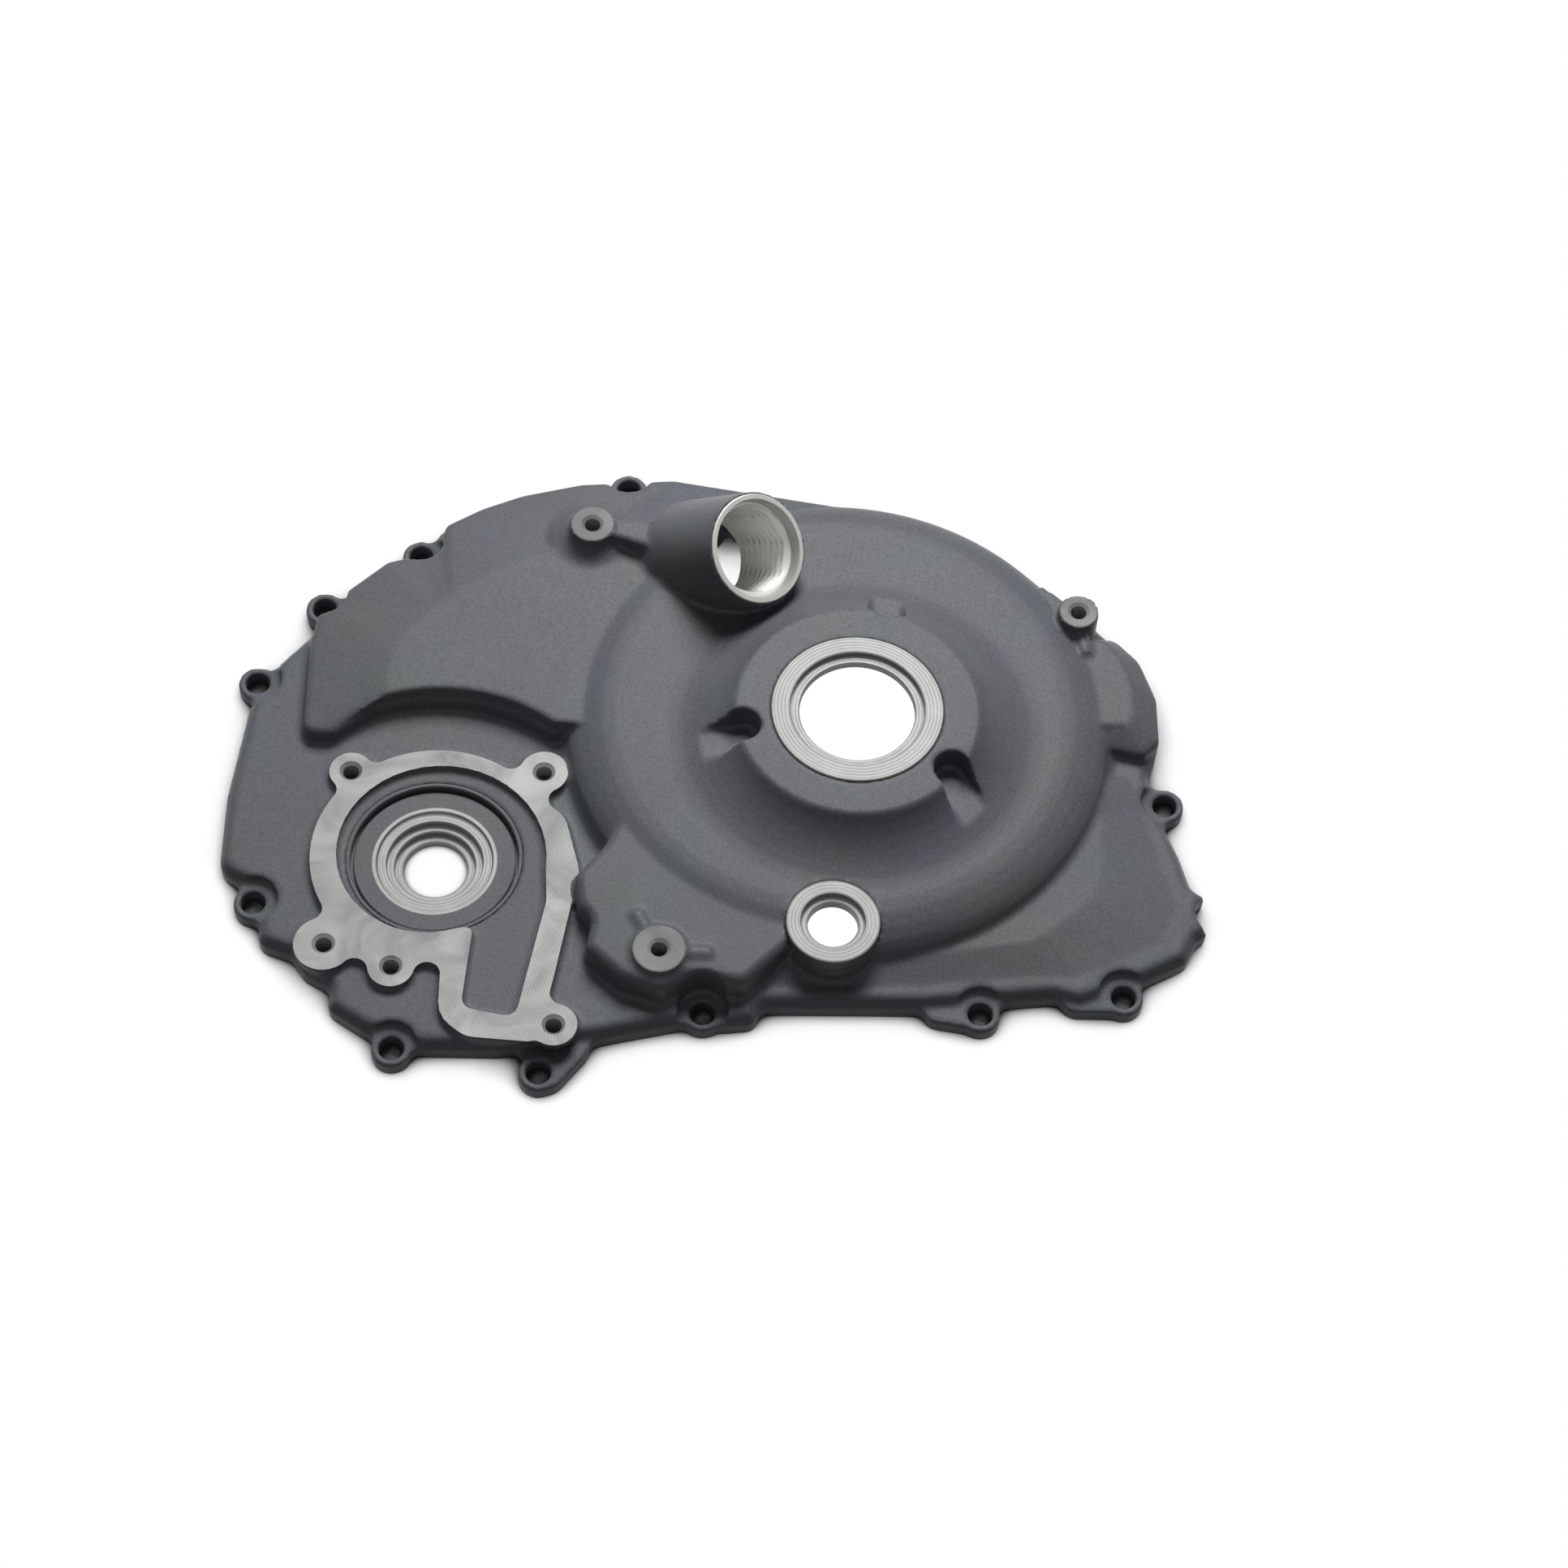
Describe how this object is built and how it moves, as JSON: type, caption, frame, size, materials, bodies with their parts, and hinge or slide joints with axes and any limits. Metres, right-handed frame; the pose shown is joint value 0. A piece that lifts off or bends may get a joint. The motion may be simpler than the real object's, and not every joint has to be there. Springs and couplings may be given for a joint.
{
  "type": "crankcase cover",
  "caption": "Right-hand crankcase cover, an aluminium casting with a clutch dome, oil filler neck, sight-glass seat, water-pump seat and a flange of bolt lugs.",
  "frame": {"origin": "on the joint face, under the middle of the cover's bounding box", "axes": "+Z out of the engine along the central bore, +X towards the narrow right end, +Y towards the filler neck; the joint face is z = 0"},
  "size_m": [0.2993, 0.2268, 0.0489],
  "materials": {
    "cast_body": "die cast and painted dark metallic grey, with bare machined faces"
  },
  "bodies": {
    "root": {"crankcase_cover": "cast_body"}
  },
  "joints": []
}
